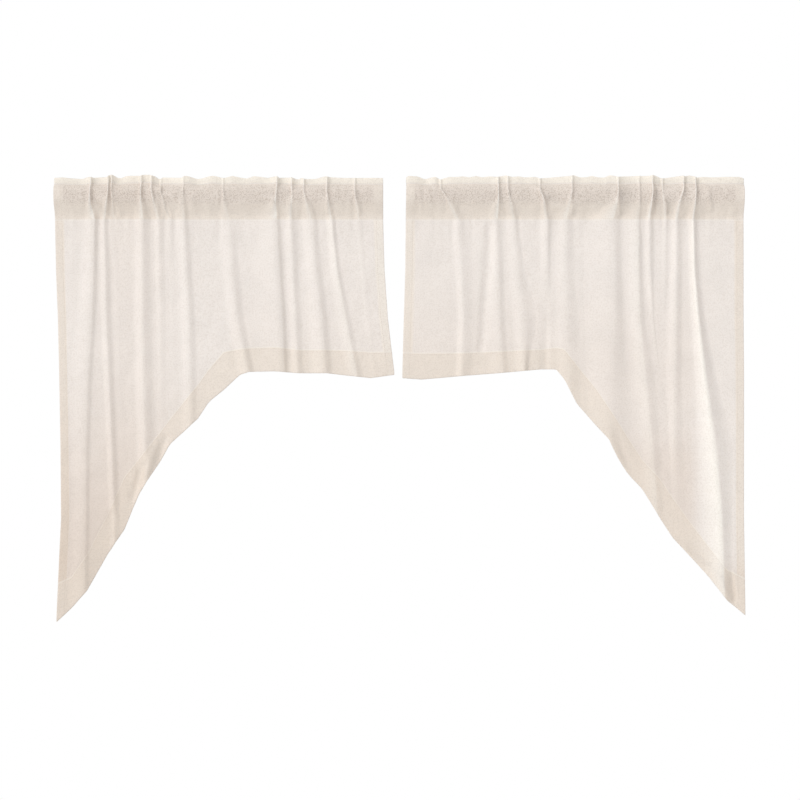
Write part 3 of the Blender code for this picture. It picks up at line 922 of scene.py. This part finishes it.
def looseCotton():
    # threads that vary in width give a grainy, slightly translucent face with no shine
    material = bpy.data.materials.new("looseWeaveCotton")
    material.use_nodes = True
    tree = material.node_tree
    tree.nodes.clear()
    warp = threadNoise(tree, cotton["slubWidth"], cotton["slubLength"], 2)
    weft = threadNoise(tree, cotton["slubLength"], cotton["slubWidth"], 2)
    blotch = threadNoise(tree, cotton["blotchLength"], cotton["blotchLength"], 3)
    slubs = addNode(tree, "ShaderNodeMath", {"operation": "MULTIPLY"}, links={0: warp, 1: weft}).outputs[0]
    # tone places, carrying the frill's painted highlight and the pocket's painted shade
    layers = addNode(tree, "ShaderNodeAttribute", {"attribute_name": "layers"}).outputs["Fac"]
    # painted shade towards the bottom of the swags and tails
    paintedShade = addNode(tree, "ShaderNodeAttribute", {"attribute_name": "paintedShade"}).outputs["Fac"]
    colour = clothTones(tree, layers, paintedShade)
    colour = weaveMarks(tree, layers, slubs, colour)
    colour = stitchRims(tree, paintedShade, colour)
    low, high = cotton["blotchRange"]
    darkest, palest = cotton["blotchTones"]
    uneven = addNode(
        tree, "ShaderNodeMapRange", {"clamp": True},
        {"From Min": low, "From Max": high, "To Min": darkest, "To Max": palest}, {"Value": blotch})
    colour = addNode(
        tree, "ShaderNodeVectorMath", {"operation": "SCALE"},
        links={0: colour, "Scale": uneven.outputs[0]}).outputs[0]
    relief = addNode(
        tree, "ShaderNodeBump",
        values={"Strength": cotton["weaveRelief"], "Distance": cotton["reliefHeight"] * mm},
        links={"Height": slubs}).outputs[0]
    face = addNode(
        tree, "ShaderNodeBsdfPrincipled",
        values={"Roughness": cotton["roughness"], "Specular IOR Level": cotton["specular"]},
        links={"Base Color": colour, "Normal": relief})
    through = addNode(tree, "ShaderNodeBsdfTranslucent", links={"Color": colour, "Normal": relief})
    both = addNode(
        tree, "ShaderNodeMixShader", values={"Fac": cotton["throughLight"]},
        links={1: face.outputs[0], 2: through.outputs[0]})
    addNode(tree, "ShaderNodeOutputMaterial", links={"Surface": both.outputs[0]})
    return material


def cottonThread():
    # sewing thread, a little smoother and lighter than the cloth
    material = bpy.data.materials.new("cottonSewingThread")
    material.use_nodes = True
    shader = material.node_tree.nodes["Principled BSDF"]
    shader.inputs["Base Color"].default_value = hexToLinear(stitching["colour"])
    shader.inputs["Roughness"].default_value = stitching["roughness"]
    return material


clothFinish = looseCotton()
for drape in drapes.values():
    drape["piece"].data.materials.append(clothFinish)
threadFinish = cottonThread()
for piece in stitchPieces:
    piece.data.materials.append(threadFinish)
print("cloth and thread finished")

# Room, in metres: a pale floor below, an even white surround and one large soft light from the left.
room = {
    "floorDepth": 1.65,
    "floorSize": 3.2,
    "floorColour": "#f2f1ee",
    "floorRoughness": 0.9,
    "surround": 0.86,
    "keyPlace": (-3.4, -3.0, 1.2),
    "keyAngle": 35,
    "keyPower": 1.2,
}
camera = {
    "lens": 100,
    "viewWidth": 1.648,
    "middle": (0.0, 0.0, -0.4573),
    "clipEnd": 50,
}


def paleFloor():
    floor = bmesh.new()
    bmesh.ops.create_grid(floor, x_segments=1, y_segments=1, size=room["floorSize"] / 2)
    mesh = bpy.data.meshes.new("paleFloor")
    floor.to_mesh(mesh)
    floor.free()
    piece = bpy.data.objects.new("paleFloor", mesh)
    piece.location.z = -room["floorDepth"]
    bpy.context.scene.collection.objects.link(piece)
    paint = bpy.data.materials.new("paleMattPaint")
    paint.use_nodes = True
    shader = paint.node_tree.nodes["Principled BSDF"]
    shader.inputs["Base Color"].default_value = hexToLinear(room["floorColour"])
    shader.inputs["Roughness"].default_value = room["floorRoughness"]
    mesh.materials.append(paint)


def softLights():
    world = bpy.data.worlds.new("whiteSurround")
    bpy.context.scene.world = world
    world.use_nodes = True
    tree = world.node_tree
    tree.nodes.clear()
    lightPath = addNode(tree, "ShaderNodeLightPath")
    seen = addNode(tree, "ShaderNodeBackground", values={"Color": (1, 1, 1, 1), "Strength": 1.0})
    glow = addNode(
        tree, "ShaderNodeBackground", values={"Color": (1, 1, 1, 1), "Strength": room["surround"]})
    both = addNode(
        tree, "ShaderNodeMixShader",
        links={"Fac": lightPath.outputs["Is Camera Ray"], 1: glow.outputs[0], 2: seen.outputs[0]})
    addNode(tree, "ShaderNodeOutputWorld", links={"Surface": both.outputs[0]})
    key = bpy.data.lights.new("keyLight", "SUN")
    key.angle = math.radians(room["keyAngle"])
    key.energy = room["keyPower"]
    lamp = bpy.data.objects.new("keyLight", key)
    lamp.location = room["keyPlace"]
    towards = Vector(camera["middle"]) - lamp.location
    lamp.rotation_euler = towards.to_track_quat("-Z", "Y").to_euler()
    bpy.context.scene.collection.objects.link(lamp)


def frontCamera():
    lens = bpy.data.cameras.new("frontCamera")
    lens.lens = camera["lens"]
    lens.clip_end = camera["clipEnd"]
    away = camera["viewWidth"] * camera["lens"] / lens.sensor_width
    piece = bpy.data.objects.new("frontCamera", lens)
    piece.location = Vector(camera["middle"]) + Vector((0, -away, 0))
    piece.rotation_euler = (math.pi / 2, 0, 0)
    bpy.context.scene.collection.objects.link(piece)
    bpy.context.scene.camera = piece


paleFloor()
softLights()
frontCamera()
bpy.context.scene.view_settings.view_transform = "Standard"  # keeps the white surround white
print("room, lights and camera made")
